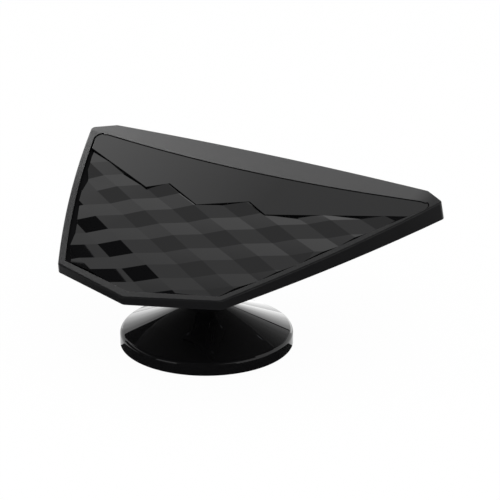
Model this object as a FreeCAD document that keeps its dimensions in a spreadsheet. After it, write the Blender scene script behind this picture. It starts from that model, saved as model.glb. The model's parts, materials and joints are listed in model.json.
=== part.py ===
import FreeCAD, Part
import os
import re
import Sketcher

# Indoor TV antenna: a shield-shaped panel that tilts on a round weighted base.
# Base frame: origin at the centre of the base's underside, +Z up, nose of the panel towards -Y.
# Panel frame: origin on the hinge axis, +X along the long back edge, +Z out of the front face.
# Lengths are in millimetres and angles in degrees.
DIMENSIONS = {
    # Panel outline, seen square on from the front
    "wide_half_width": 118.7,
    "corner_run": 13.4,
    "corner_setback": 7.8,
    "shoulder_half_width": 53.3,
    "shoulder_setback": 147.3,
    "panel_length": 163.7,
    "back_bow": 2.6,
    "side_bow": 3.0,
    "corner_radius": 3.0,
    "shoulder_radius": 4.0,
    "edge_radius": 1.0,
    "wall_draft": 2.5,
    # Panel section
    "back_depth": 11.5,
    "nose_room": 0.1,
    "wall": 2.0,
    "skin": 1.8,
    "floor_thickness": 0.8,
    "cover_thickness": 1.5,
    "cover_clearance": 0.2,
    # Front face: strip along the back edge, bezel and the two inserts
    "bezel_width": 6.0,
    "strip_width": 18.5,
    "strip_bow": 7.6,
    "recess_radius": 4.5,
    "insert_gap": 0.45,
    "insert_step": 0.4,
    "insert_thickness": 2.2,
    # Stepped border of the smooth insert: across from the middle, and back from the back edge
    "border_reach": 125.0,
    "border_left_setback": 17.4,
    "peak_one_across": 50.9,
    "peak_one_setback": 55.8,
    "notch_one_across": 39.9,
    "notch_one_setback": 47.3,
    "peak_two_across": 13.0,
    "peak_two_setback": 62.2,
    "notch_two_across": 14.3,
    "notch_two_setback": 48.0,
    "peak_three_across": 30.0,
    "peak_three_setback": 57.3,
    "border_right_setback": 20.4,
    # Folded diamond relief of the faceted insert
    "fold_lift": 0.5,
    "fold_length_front": 16.35,
    "fold_angle_front": 32.0,
    "fold_rise_front": 0.6,
    "fold_length_back_long": 15.8,
    "fold_length_back_short": 12.6,
    "fold_angle_back": 33.7,
    "fold_rise_back": 1.3,
    "fold_fan": 0.00198,
    "summit_across": 60.8,
    "summit_setback": 95.1,
    # Screws that hold the rear cover, in a row under the strip
    "cover_screw_inner_across": 36.0,
    "cover_screw_outer_across": 90.0,
    "cover_screw_setback": 6.4,
    "screw_radius": 1.3,
    "screw_head_radius": 2.5,
    "screw_head_height": 1.5,
    "screw_clearance": 0.1,
    "head_margin": 1.0,
    "boss_radius": 3.2,
    "cup_height": 1.4,
    # Board and what it carries
    "board_back_setback": 15.0,
    "board_front_setback": 84.0,
    "board_back_half_width": 92.0,
    "board_front_half_width": 64.0,
    "board_thickness": 1.0,
    "standoff_height": 0.6,
    "standoff_radius": 2.6,
    "board_screw_across": 54.0,
    "board_screw_back_setback": 23.0,
    "board_screw_front_setback": 60.0,
    "board_screw_radius": 1.0,
    "board_screw_head_radius": 1.9,
    "board_screw_head_height": 0.6,
    "board_screw_length": 1.8,
    "foil_thickness": 0.2,
    "foil_feed_gap": 6.0,
    "foil_feed_height": 5.0,
    "foil_length": 38.0,
    "foil_height": 28.0,
    "foil_setback": 47.0,
    "shield_width": 30.0,
    "shield_depth": 14.0,
    "shield_height": 1.5,
    "shield_wall": 0.3,
    "shield_setback": 26.0,
    "core_width": 5.0,
    "core_depth": 7.0,
    "core_height": 1.3,
    "core_hole_radius": 0.4,
    # Gland in the middle of the back wall
    "gland_depth_below_face": 6.1,
    "gland_bore_radius": 2.2,
    "gland_neck_radius": 2.9,
    "gland_flange_radius": 3.4,
    "gland_flange": 1.2,
    # Hinge
    "hinge_setback": 76.6,
    "panel_rise": 21.0,
    "rest_tilt": 10.6,
    "knuckle_width": 14.0,
    "knuckle_radius": 8.0,
    "knuckle_web_half": 7.2,
    "washer_thickness": 0.5,
    "washer_radius": 7.0,
    "running_gap": 0.05,
    "ear_thickness": 4.6,
    "ear_radius": 8.0,
    "ear_clearance": 1.0,
    "flange_thickness": 2.4,
    "flange_half_length": 17.0,
    "flange_half_width": 19.0,
    "ear_root_half_length": 13.6,
    "bracket_screw_across": 15.8,
    "bracket_screw_along": 13.0,
    "bracket_screw_length": 3.4,
    "bolt_radius": 2.0,
    "bolt_clearance": 0.08,
    "bolt_head_radius": 3.6,
    "bolt_head_height": 2.2,
    "bolt_socket_radius": 1.5,
    "bolt_socket_depth": 1.2,
    "nut_across_flats": 7.0,
    "nut_thickness": 2.4,
    "cap_radius": 6.0,
    "cap_thickness": 0.8,
    # Base
    "base_radius": 50.0,
    "rim_lift": 0.6,
    "rim_height": 5.8,
    "rim_round": 3.5,
    "neck_foot_height": 24.4,
    "neck_foot_radius": 11.0,
    "neck_top_radius": 10.2,
    "neck_round": 5.0,
    "neck_top_height": 47.0,
    "base_wall": 2.6,
    "post_radius": 7.0,
    "pad_radius": 45.0,
    "pad_thickness": 1.0,
    "plate_thickness": 2.5,
    "plate_clearance": 0.25,
    "ballast_radius": 30.0,
    "ballast_thickness": 7.5,
    "base_screw_radius": 2.0,
    "base_screw_head_radius": 4.0,
    "base_screw_head_height": 1.5,
    "base_screw_length": 30.0,
    "thread_clearance": 0.05,
}
REACH = 40
# Folds counted from the first summit, enough to run past the recess on all sides
FRONT_FOLDS = range(-9, 11)
BACK_FOLDS = range(-6, 17)
# Share of an edge's length that its height is, from which it counts as upright
UPRIGHT_SHARE = 0.9

doc = FreeCAD.newDocument("tv_antenna")
V = FreeCAD.Vector

sheet = doc.addObject("Spreadsheet::Sheet", "dims")
for row, (alias, value) in enumerate(DIMENSIONS.items(), start=1):
    sheet.set(f"A{row}", alias)
    sheet.set(f"B{row}", str(value))
    sheet.setAlias(f"B{row}", alias)
doc.recompute()

nodes = []


def formula(text):
    """An expression over the sheet, from one that names its cells alone."""
    def cell(word):
        return "dims." + word[0] if word[0] in DIMENSIONS else word[0]
    return re.sub(r"[a-z]\w*", cell, str(text))


def number(text):
    return float(sheet.evalExpression(formula(text)))


def bind(item, **sizes):
    """Ties properties of an object to formulas; __ in a name stands for a dot."""
    for name, text in sizes.items():
        item.setExpression(name.replace("__", "."), formula(text))
    return item


def place(item, x="0", y="0", z="0", axis=V(0, 0, 1), angle="0"):
    item.Placement = FreeCAD.Placement(V(), FreeCAD.Rotation(axis, number(angle)))
    bind(item, Placement__Base__x=x, Placement__Base__y=y, Placement__Base__z=z)
    if angle != "0":
        bind(item, Placement__Rotation__Angle=angle)
    return item


# Sketches

PLANES = {
    "XY": FreeCAD.Rotation(),
    "YZ": FreeCAD.Rotation(V(0, 1, 0), V(0, 0, 1), V(1, 0, 0), "ZXY"),
}


def draw(sketch, corners, bows=None):
    """Fills a sketch with a closed outline. A side with a bow is an arc that stands out by it."""
    bows = bows or {}
    points = [V(number(x), number(y), 0) for x, y in corners]
    sides = []
    for i, start in enumerate(points):
        end = points[(i + 1) % len(points)]
        if i in bows:
            run = V(end - start).normalize()
            bulge = V(-run.y, run.x, 0) * number(bows[i])
            sides.append(sketch.addGeometry(Part.Arc(start, (start + end) * 0.5 + bulge, end)))
        else:
            sides.append(sketch.addGeometry(Part.LineSegment(start, end)))

    def end_at(side, point):
        return 1 if (sketch.getPoint(side, 1) - point).Length < 1e-6 else 2

    for i, point in enumerate(points):
        before, after = sides[i - 1], sides[i]
        tip = end_at(after, point)
        sketch.addConstraint(Sketcher.Constraint("Coincident", before, end_at(before, point), after, tip))
        for kind, axis, text in (("DistanceX", -2, corners[i][0]), ("DistanceY", -1, corners[i][1])):
            if text == "0":
                sketch.addConstraint(Sketcher.Constraint("PointOnObject", after, tip, axis))
            else:
                index = sketch.addConstraint(Sketcher.Constraint(kind, after, tip, number(text)))
                sketch.setExpression(f"Constraints[{index}]", formula(text))
    for i, bow in bows.items():
        (ax, ay), (bx, by) = corners[i], corners[(i + 1) % len(corners)]
        chord = f"((({bx}) - ({ax}))^2 + (({by}) - ({ay}))^2)"
        radius = f"{chord} / (8 * abs({bow})) + abs({bow}) / 2"
        index = sketch.addConstraint(Sketcher.Constraint("Radius", sides[i], number(radius)))
        sketch.setExpression(f"Constraints[{index}]", formula(radius))
    return sketch


def outline(name, plane, corners, bows=None, **at):
    sketch = doc.addObject("Sketcher::SketchObject", name)
    place(sketch, **at)
    sketch.Placement.Rotation = PLANES[plane]
    return draw(sketch, corners, bows)


def offset(name, source, by):
    ring = doc.addObject("Part::Offset2D", name)
    ring.Source = source
    ring.Join = "Intersection"
    return bind(ring, Value=by)


# Solids

def extrude(name, base, direction, length, taper="0", back="0"):
    prism = doc.addObject("Part::Extrusion", name)
    prism.Base = base
    prism.DirMode = "Custom"
    prism.Dir = direction
    prism.Solid = True
    bind(prism, LengthFwd=length, LengthRev=back)
    if taper != "0":
        bind(prism, TaperAngle=taper)
    return prism


def cylinder(name, radius, height, x="0", y="0", z="0", axis=V(0, 0, 1), angle="0"):
    rod = doc.addObject("Part::Cylinder", name)
    bind(rod, Radius=radius, Height=height)
    return place(rod, x, y, z, axis, angle)


def box(name, length, width, height, x, y, z):
    """A box centred on x and y that stands on z."""
    block = doc.addObject("Part::Box", name)
    bind(block, Length=length, Width=width, Height=height)
    return place(block, f"({x}) - ({length}) / 2", f"({y}) - ({width}) / 2", z)


def across(name, radius, start, length):
    """A cylinder along the hinge axis, from x = start."""
    return cylinder(name, radius, length, x=start, axis=V(0, 1, 0), angle="90")


def cut(name, base, *tools):
    result = doc.addObject("Part::Cut", name)
    result.Base = base
    result.Tool = tools[0] if len(tools) == 1 else join(name + "_tools", *tools)
    return result


def join(name, *shapes):
    result = doc.addObject("Part::MultiFuse", name)
    result.Shapes = list(shapes)
    result.Refine = True
    return result


def common(name, *shapes):
    result = doc.addObject("Part::MultiCommon", name)
    result.Shapes = list(shapes)
    return result


def group(name, shapes):
    result = doc.addObject("Part::Compound", name)
    result.Links = list(shapes)
    return result


def rounded(name, base, radius, chosen):
    """Rounds the edges of a solid that chosen(edge) picks."""
    doc.recompute()
    result = doc.addObject("Part::Fillet", name)
    result.Base = base
    size = number(radius)
    result.Edges = [(i, size, size) for i, edge in enumerate(base.Shape.Edges, start=1) if chosen(edge)]
    return result


HINGE_HEIGHT = "(neck_top_height + ear_radius + ear_clearance)"


def on_base(label, item):
    item.Label = label
    nodes.append(item)


def on_panel(label, item):
    """Names a piece of the panel and turns it with the panel to its rest tilt."""
    item.Label = label
    place(item, z=HINGE_HEIGHT, axis=V(1, 0, 0), angle="rest_tilt")
    nodes.append(item)


# Panel frame: y counts down from the hinge axis to the nose, z from the hinge axis up to the front face

def along(setback):
    return f"(hinge_setback - ({setback}))"


def below_face(depth):
    return f"(panel_rise - ({depth}))"


FLOOR_TOP = "(insert_step + insert_thickness)"
FLOOR_BOTTOM = f"({FLOOR_TOP} + floor_thickness)"
NOSE_DEPTH = f"({FLOOR_BOTTOM} + nose_room + cover_thickness)"
SLOPE = f"((back_depth - {NOSE_DEPTH}) / panel_length)"


def underside(setback):
    """Height of the sloping underside of the panel."""
    return below_face(f"back_depth - {SLOPE} * ({setback})")


def inside(setback):
    """Height of the rear cover's inner face."""
    return f"({underside(setback)} + cover_thickness)"


def board_top(setback):
    return f"({inside(setback)} + standoff_height + board_thickness)"


def slab(name, lower, upper):
    """A layer across the whole panel, between two heights that may slope along it."""
    back, front = f"-{REACH}", f"(panel_length + {REACH})"
    corners = [(along(back), lower(back)), (along(front), lower(front)),
               (along(front), upper(front)), (along(back), upper(back))]
    profile = outline(name + "_profile", "YZ", corners)
    half = f"(wide_half_width + {REACH})"
    return extrude(name, profile, V(1, 0, 0), half, back=half)


def above(level, by):
    return lambda setback: f"({level(setback)} + {by})"


def flat(depth):
    return lambda setback: below_face(depth)


BACK_HALF_WIDTH = "(wide_half_width - corner_run)"
SHIELD = [
    (f"-{BACK_HALF_WIDTH}", along("0")),
    (BACK_HALF_WIDTH, along("0")),
    ("wide_half_width", along("corner_setback")),
    ("shoulder_half_width", along("shoulder_setback")),
    ("0", along("panel_length")),
    ("-shoulder_half_width", along("shoulder_setback")),
    ("-wide_half_width", along("corner_setback")),
]
SHIELD_BOWS = {0: "back_bow", 2: "side_bow", 5: "side_bow"}
shield = outline("shield", "XY", SHIELD, SHIELD_BOWS, z="panel_rise")

DOWN = V(0, 0, -1)
FULL_DEPTH = "2 * back_depth"


def shield_prism(name, inset):
    """A straight prism through the whole panel, as wide as the outline less an inset."""
    return extrude(name, offset(name + "_outline", shield, f"-({inset})"), DOWN, FULL_DEPTH)


def strip_area(name, margin):
    """The strip along the back edge, and everything behind it, with its border moved by a margin."""
    side = f"(wide_half_width + {REACH})"
    end = f"strip_width - strip_bow * ({side} / (wide_half_width - bezel_width))^2 + ({margin})"
    corners = [(f"-{side}", along(end)), (f"-{side}", along(f"-{REACH}")),
               (side, along(f"-{REACH}")), (side, along(end))]
    bow = f"strip_bow * ({side} / (wide_half_width - bezel_width))^2"
    return outline(name, "XY", corners, {3: bow}, z="panel_rise")


def screws(name, spots, radius, length, head_radius, head_height, seat, direction):
    """Like screws as one group: seat(setback) is the height under the head, direction is 1 for a tip that
    points up and -1 for one that points down."""
    made = []
    for i, (x, setback) in enumerate(spots):
        y, z = along(setback), seat(setback)
        shank_z = z if direction > 0 else f"{z} - ({length})"
        head_z = f"{z} - ({head_height})" if direction > 0 else z
        shank = cylinder(f"{name}_shank{i}", radius, length, x, y, shank_z)
        head = cylinder(f"{name}_head{i}", head_radius, head_height, x, y, head_z)
        made.append(join(f"{name}_one{i}", shank, head))
    return group(name, made)


def rods(name, spots, radius, bottom, height):
    """Cylinders at several spots, fused where they are used."""
    return [cylinder(f"{name}{i}", radius, height, x, along(setback), bottom(setback))
            for i, (x, setback) in enumerate(spots)]


COVER_SPOTS = [(f"{sign}{x}", "cover_screw_setback")
               for x in ("cover_screw_inner_across", "cover_screw_outer_across") for sign in ("", "-")]
BOARD_SPOTS = [(f"{sign}board_screw_across", setback)
               for setback in ("board_screw_back_setback", "board_screw_front_setback") for sign in ("", "-")]
BRACKET_SPOTS = [(f"{sign}bracket_screw_across", f"hinge_setback {turn} bracket_screw_along")
                 for sign in ("", "-") for turn in ("+", "-")]


# Front frame: outer form, then hollows from below and the recess for the inserts from above

def is_upright(edge):
    return edge.BoundBox.ZLength > UPRIGHT_SHARE * edge.Length


def is_shoulder(edge):
    return is_upright(edge) and edge.CenterOfMass.y < number(along("panel_length / 2"))


def is_back_corner(edge):
    return is_upright(edge) and not is_shoulder(edge)


def is_top_rim(edge):
    return abs(edge.BoundBox.ZMin - number("panel_rise")) < 1e-4


def make_front_frame():
    tall = extrude("frame_tall", shield, DOWN, FULL_DEPTH, taper="wall_draft")
    wedge = slab("frame_wedge", underside, flat(f"-{REACH}"))
    block = common("frame_block", tall, wedge)
    round_back = rounded("frame_round_back", block, "corner_radius", is_back_corner)
    round_front = rounded("frame_round_front", round_back, "shoulder_radius", is_shoulder)
    shaped = rounded("frame_shaped", round_front, "edge_radius", is_top_rim)

    room = common("frame_room", shield_prism("frame_room_plan", "wall"),
                  slab("frame_room_depth", above(underside, f"-{REACH}"), flat(FLOOR_BOTTOM)))
    strip_plan = extrude("strip_room_area", strip_area("strip_room_border", "-wall"), DOWN, FULL_DEPTH)
    strip_room = common("strip_room", shield_prism("strip_room_plan", "wall"), strip_plan,
                        slab("strip_room_depth", above(underside, f"-{REACH}"), flat("skin")))
    recess_plan = cut("recess_plan", shield_prism("recess_sides", "bezel_width"),
                      extrude("recess_strip", strip_area("recess_border", "0"), DOWN, FULL_DEPTH))
    recess_rounded = rounded("recess_rounded", recess_plan, "recess_radius", is_back_corner)
    recess = common("recess", recess_rounded, slab("recess_depth", flat(FLOOR_TOP), flat(f"-{REACH}")))
    gland_hole = cylinder("gland_hole", "gland_neck_radius + screw_clearance", "2 * wall + back_bow",
                          y=along("wall"), z=below_face("gland_depth_below_face"),
                          axis=V(1, 0, 0), angle="-90")
    hollow = cut("frame_hollow", shaped, room, strip_room, recess, gland_hole)

    boss_end = above(inside, "cup_height")
    bosses = rods("frame_boss", COVER_SPOTS, "boss_radius", boss_end, FULL_DEPTH)
    boss_layer = slab("frame_boss_layer", boss_end, flat("skin / 2"))
    pilots = rods("frame_pilot", COVER_SPOTS, "screw_radius + thread_clearance", boss_end,
                  f"{below_face('skin')} - {boss_end('cover_screw_setback')}")
    standing = common("frame_bosses", join("frame_boss_rods", *bosses), boss_layer)
    on_panel("front_frame", cut("front_frame", join("frame_with_bosses", hollow, standing), *pilots))


# Inserts: the smooth one ends in a stepped border, the faceted one fills the rest

def border_area(name, margin):
    """Everything behind the stepped border, as far back as the strip."""
    left, right = "-border_reach", "border_reach"
    corners = [
        (left, along(f"-{REACH}")),
        (right, along(f"-{REACH}")),
        (right, along("border_right_setback")),
        ("peak_three_across", along("peak_three_setback")),
        ("notch_two_across", along("notch_two_setback")),
        ("-peak_two_across", along("peak_two_setback")),
        ("-notch_one_across", along("notch_one_setback")),
        ("-peak_one_across", along("peak_one_setback")),
        (left, along("border_left_setback")),
    ]
    area = outline(name, "XY", corners, z="panel_rise")
    return area if margin == "0" else offset(name + "_moved", area, margin)


def insert_prism(name, top):
    """The room that the inserts share, up to a depth below the face: the recess less a gap all round."""
    sides = shield_prism(name + "_sides", "bezel_width + insert_gap")
    strip = extrude(name + "_strip", strip_area(name + "_border", "insert_gap"), DOWN, FULL_DEPTH)
    plan = rounded(name + "_plan_rounded", cut(name + "_plan", sides, strip), "recess_radius - insert_gap",
                   is_back_corner)
    return common(name, plan, slab(name + "_depth", flat(FLOOR_TOP), flat(top)))


SUMMIT = "(insert_step - fold_lift)"


def fold_corner(front, back):
    """Corner of the diamonds after so many folds to the front and so many to the back, counted from the first
    summit. Folds to the back are long and short in turn, and the pattern fans out to the right."""
    run_front = f"(fold_length_front * {front})"
    run_back = f"((fold_length_back_long + fold_length_back_short) * {back // 2}"
    run_back += f" + fold_length_back_long * {back % 2})"
    x = f"cos(fold_angle_front) * {run_front} + cos(fold_angle_back) * {run_back}"
    x += f" + fold_fan * {run_front} * {run_back} - summit_across"
    setback = f"summit_setback + sin(fold_angle_front) * {run_front} - sin(fold_angle_back) * {run_back}"
    drop = f"fold_rise_front * {front % 2} + fold_rise_back * {back % 2}"
    return V(number(x), number(along(setback)), number(below_face(f"{SUMMIT} + {drop}")))


def folded_block():
    """Strips of a block whose top is folded into diamonds. Each lies between two zigzag sections."""
    bottom = number(below_face(FLOOR_TOP)) - REACH

    def section(front):
        ridge = [fold_corner(front, back) for back in BACK_FOLDS]
        ends = [V(ridge[-1].x, ridge[-1].y, bottom), V(ridge[0].x, ridge[0].y, bottom)]
        return Part.makePolygon(ridge + ends + ridge[:1])

    sections = [section(front) for front in FRONT_FOLDS]
    return [Part.makeLoft([near, far], True, True) for near, far in zip(sections, sections[1:])]


def make_inserts():
    smooth = common("trim_block", insert_prism("trim_room", "insert_step"),
                    extrude("trim_area", border_area("trim_border", "0"), DOWN, FULL_DEPTH))
    on_panel("trim_panel", smooth)

    room = cut("facet_room", insert_prism("facet_space", SUMMIT),
               extrude("facet_border", border_area("facet_edge", "insert_gap"), DOWN, FULL_DEPTH))
    doc.recompute()
    strips = [strip.common(room.Shape) for strip in folded_block()]
    strips = [strip for strip in strips if strip.Volume > 1e-3]
    facets = doc.addObject("Part::Feature", "facets")
    facets.Shape = strips[0].multiFuse(strips[1:]).removeSplitter()
    on_panel("facet_panel", facets)


# Rear cover: a plate that drops into the frame, with cups for its screws and standoffs for the board

def make_rear_cover():
    plate = common("cover_plate", shield_prism("cover_plan", "wall + cover_clearance"),
                   slab("cover_layer", underside, inside))
    cups = rods("cover_cup", COVER_SPOTS, "boss_radius + wall / 2", underside, "cover_thickness + cup_height")
    cup_layer = slab("cover_cup_layer", underside, above(inside, "cup_height"))
    standing_cups = common("cover_cups", join("cover_cup_rods", *cups), cup_layer)
    posts = rods("cover_post", BOARD_SPOTS, "standoff_radius", underside, "2 * cover_thickness")
    post_layer = slab("cover_post_layer", underside, above(inside, "standoff_height"))
    standing_posts = common("cover_posts", join("cover_post_rods", *posts), post_layer)
    body = join("cover_body", plate, standing_cups, standing_posts)
    seat = above(inside, "cup_height - skin / 2")
    wells = rods("cover_well", COVER_SPOTS, "screw_head_radius + cover_clearance",
                 above(seat, f"-{REACH}"), f"{REACH}")
    holes = rods("cover_hole", COVER_SPOTS, "screw_radius + screw_clearance", underside, FULL_DEPTH)
    pilots = rods("cover_pilot", BOARD_SPOTS, "board_screw_radius + thread_clearance",
                  above(board_top, "-board_thickness - board_screw_length"), FULL_DEPTH)
    passes = rods("cover_pass", BRACKET_SPOTS, "screw_radius + screw_clearance",
                  above(underside, "-cover_thickness"), FULL_DEPTH)
    on_panel("rear_cover", cut("rear_cover", body, *wells, *holes, *pilots, *passes))

    length = f"{below_face('skin')} - {seat('cover_screw_setback')} - screw_clearance"
    on_panel("cover_screws", screws("cover_screws", COVER_SPOTS, "screw_radius", length, "screw_head_radius",
                                    "screw_head_height", seat, 1))


# Board with the radiators, the amplifier's can and the ferrite core

def make_board():
    corners = [("-board_back_half_width", along("board_back_setback")),
               ("board_back_half_width", along("board_back_setback")),
               ("board_front_half_width", along("board_front_setback")),
               ("-board_front_half_width", along("board_front_setback"))]
    plan = extrude("board_plan", outline("board_outline", "XY", corners, z="panel_rise"), DOWN, FULL_DEPTH)
    layer = slab("board_layer", above(inside, "standoff_height"), board_top)
    sheet_layer = common("board_sheet", plan, layer)
    holes = rods("board_hole", BOARD_SPOTS, "board_screw_radius + screw_clearance", inside, FULL_DEPTH)
    heads = rods("board_clear", BRACKET_SPOTS, "screw_head_radius + head_margin", inside, FULL_DEPTH)
    on_panel("antenna_board", cut("antenna_board", sheet_layer, *holes, *heads))
    on_panel("board_screws", screws("board_screws", BOARD_SPOTS, "board_screw_radius",
                                    "board_thickness + board_screw_length - screw_clearance",
                                    "board_screw_head_radius", "board_screw_head_height",
                                    above(board_top, f"{SLOPE} * board_screw_head_radius"), -1))

    foil_layer = slab("foil_layer", board_top, above(board_top, "foil_thickness"))
    foils = []
    for name, sign in (("right", ""), ("left", "-")):
        near, far = f"{sign}foil_feed_gap / 2", f"{sign}(foil_feed_gap / 2 + foil_length)"
        wedge = [(near, along("foil_setback + foil_feed_height / 2")),
                 (far, along("foil_setback + foil_height / 2")),
                 (far, along("foil_setback - foil_height / 2")),
                 (near, along("foil_setback - foil_feed_height / 2"))]
        plan = outline(f"foil_{name}_outline", "XY", wedge, z="panel_rise")
        foils.append(common(f"foil_{name}", extrude(f"foil_{name}_plan", plan, DOWN, FULL_DEPTH), foil_layer))
    on_panel("radiator_foils", group("radiator_foils", foils))

    def standing(name, width, depth, setback, low, high):
        plan = box(name + "_plan", width, depth, FULL_DEPTH, "0", along(setback), underside(setback))
        return common(name, plan, slab(name + "_layer", low, high))

    can = standing("can_block", "shield_width", "shield_depth", "shield_setback",
                   board_top, above(board_top, "shield_height"))
    inner = standing("can_room", "shield_width - 2 * shield_wall", "shield_depth - 2 * shield_wall",
                     "shield_setback", above(board_top, "-board_thickness"),
                     above(board_top, "shield_height - shield_wall"))
    on_panel("amplifier_shield", cut("amplifier_shield", can, inner))

    setback = "foil_setback - foil_feed_height - core_depth / 2"
    core = standing("core_block", "core_width", "core_depth", setback,
                    board_top, above(board_top, "core_height"))
    bores = [cylinder(f"core_bore{i}", "core_hole_radius", "2 * core_depth", x=f"{sign}core_width / 4",
                      y=f"{along(setback)} - core_depth", z=f"{board_top(setback)} + core_height / 2",
                      axis=V(1, 0, 0), angle="-90")
             for i, sign in enumerate(("", "-"))]
    on_panel("balun_core", cut("balun_core", core, *bores))


# Gland: a soft bush whose two flanges hold the back wall

def make_gland():
    lean = "(gland_depth_below_face + gland_flange_radius) * tan(wall_draft)"
    outside_start = f"({along('-back_bow')} + {lean})"
    inside_start = f"({along('-back_bow')} - wall - gland_flange - running_gap)"
    length = f"{outside_start} + gland_flange - {inside_start}"

    def ring(name, radius, start, length):
        return cylinder(name, radius, length, y=start, z=below_face("gland_depth_below_face"),
                        axis=V(1, 0, 0), angle="-90")
    neck = ring("gland_neck", "gland_neck_radius", inside_start, length)
    outer = ring("gland_outer", "gland_flange_radius", outside_start, "gland_flange")
    inner = ring("gland_inner", "gland_flange_radius", inside_start, "gland_flange")
    bore = ring("gland_bore", "gland_bore_radius", f"{inside_start} - wall", f"{length} + 2 * wall")
    on_panel("cable_gland", cut("cable_gland", join("gland_body", neck, outer, inner), bore))


# Hinge: a bracket with two ears under the cover, clamped on the knuckle of the pedestal

EAR_START = "(knuckle_width / 2 + washer_thickness + 2 * running_gap)"
EAR_END = f"({EAR_START} + ear_thickness)"


def make_hinge():
    flange = common("bracket_flange",
                    box("bracket_plan", "2 * flange_half_width", "2 * flange_half_length", FULL_DEPTH,
                        "0", "0", f"{underside('hinge_setback')} - back_depth"),
                    slab("bracket_layer", above(underside, "-flange_thickness"), underside))
    root = f"({underside('hinge_setback')} - flange_thickness / 2)"
    profile = outline("ear_profile", "YZ", [
        ("-ear_radius", "0"), ("ear_radius", "0"),
        ("ear_root_half_length", root), ("-ear_root_half_length", root)])
    ears = []
    for name, start in (("right", EAR_START), ("left", f"-{EAR_END}")):
        plate = extrude(f"ear_{name}_plate", profile, V(1, 0, 0), "ear_thickness")
        place(plate, x=start)
        ears += [plate, across(f"ear_{name}_eye", "ear_radius", start, "ear_thickness")]
    body = join("bracket_body", flange, *ears)
    bore = across("bracket_bore", "bolt_radius + screw_clearance", f"-{REACH}", f"{2 * REACH}")
    head_well = across("bracket_head_well", "bolt_head_radius + screw_clearance",
                       f"-{EAR_END}", "cap_thickness + bolt_head_height")
    nut_well = across("bracket_nut_well", "nut_across_flats / 2 / cos(30) + screw_clearance",
                      f"{EAR_END} - cap_thickness - nut_thickness", "cap_thickness + nut_thickness")
    cap_seats = [across("cap_seat_left", "cap_radius + screw_clearance", f"-{EAR_END}", "cap_thickness"),
                 across("cap_seat_right", "cap_radius + screw_clearance", f"{EAR_END} - cap_thickness",
                        "cap_thickness")]
    pilots = rods("bracket_pilot", BRACKET_SPOTS, "screw_radius + thread_clearance",
                  above(underside, "-back_depth"), FULL_DEPTH)
    on_panel("hinge_bracket", cut("hinge_bracket", body, bore, head_well, nut_well, *cap_seats, *pilots))
    on_panel("bracket_screws", screws("bracket_screws", BRACKET_SPOTS, "screw_radius", "bracket_screw_length",
                                      "screw_head_radius", "board_screw_head_height",
                                      above(inside, f"{SLOPE} * screw_head_radius"), -1))

    head_start = f"(cap_thickness - {EAR_END})"
    bolt_end = f"({EAR_END} - cap_thickness)"
    head = across("bolt_head", "bolt_head_radius", head_start, "bolt_head_height")
    shank = across("bolt_shank", "bolt_radius", head_start, f"{bolt_end} - {head_start}")
    socket = doc.addObject("Part::Prism", "bolt_socket")
    socket.Polygon = 6
    bind(socket, Circumradius="bolt_socket_radius", Height="bolt_socket_depth")
    place(socket, x=head_start, axis=V(0, 1, 0), angle="90")
    on_panel("hinge_bolt", cut("hinge_bolt", join("bolt_body", head, shank), socket))

    hexagon = doc.addObject("Part::Prism", "nut_hexagon")
    hexagon.Polygon = 6
    bind(hexagon, Circumradius="nut_across_flats / 2 / cos(30)", Height="nut_thickness")
    place(hexagon, x=f"{bolt_end} - nut_thickness", axis=V(0, 1, 0), angle="90")
    nut_bore = across("nut_bore", "bolt_radius + thread_clearance", f"{bolt_end} - 2 * nut_thickness",
                      "4 * nut_thickness")
    on_panel("hinge_nut", cut("hinge_nut", hexagon, nut_bore))

    washers = []
    for name, start in (("right", "knuckle_width / 2 + running_gap"),
                        ("left", "-knuckle_width / 2 - running_gap - washer_thickness")):
        disc = across(f"washer_{name}_disc", "washer_radius", start, "washer_thickness")
        hole = across(f"washer_{name}_hole", "bolt_radius + screw_clearance", f"{start} - washer_thickness",
                      "3 * washer_thickness")
        washers.append(cut(f"washer_{name}", disc, hole))
    on_panel("friction_washers", group("friction_washers", washers))
    on_panel("hinge_caps", group("hinge_caps", [
        across("cap_left", "cap_radius", f"-{EAR_END}", "cap_thickness"),
        across("cap_right", "cap_radius", f"{EAR_END} - cap_thickness", "cap_thickness")]))


# Base: rim, cone and neck turned as one profile, with a knuckle on top

CONE = "((neck_foot_height - rim_height) / (base_radius - neck_foot_radius))"
CONE_WALL = f"(base_wall * sqrt(1 + {CONE}^2))"
RIM_INSIDE = "(base_radius - base_wall)"
PLATE_TOP = "(pad_thickness + plate_thickness)"
BALLAST_TOP = f"({PLATE_TOP} + ballast_thickness)"
SCREW_SEAT = "(pad_thickness + base_screw_head_height + thread_clearance)"
SCREW_BORE = "(base_screw_radius + thread_clearance)"


def under_cone(radius):
    return f"(rim_height + {CONE} * (base_radius - ({radius})) - {CONE_WALL})"


def body_sketch(body, name, role, corners):
    sketch = body.newObject("Sketcher::SketchObject", name)
    plane = [item for item in body.Origin.OriginFeatures if item.Role == role]
    sketch.AttachmentSupport = plane
    sketch.MapMode = "FlatFace"
    return draw(sketch, corners)


def rounded_in(body, name, radius, chosen):
    """Rounds edges of a body's last feature."""
    doc.recompute()
    last = body.Tip
    edges = [f"Edge{i}" for i, edge in enumerate(last.Shape.Edges, start=1) if chosen(edge)]
    fillet = body.newObject("PartDesign::Fillet", name)
    fillet.Base = (last, edges)
    bind(fillet, Radius=radius)


def is_ring(edge, radius, height):
    curve = edge.Curve
    return (isinstance(curve, Part.Circle) and abs(curve.Radius - number(radius)) < 1e-4
            and abs(curve.Center.z - number(height)) < 1e-4)


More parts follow.
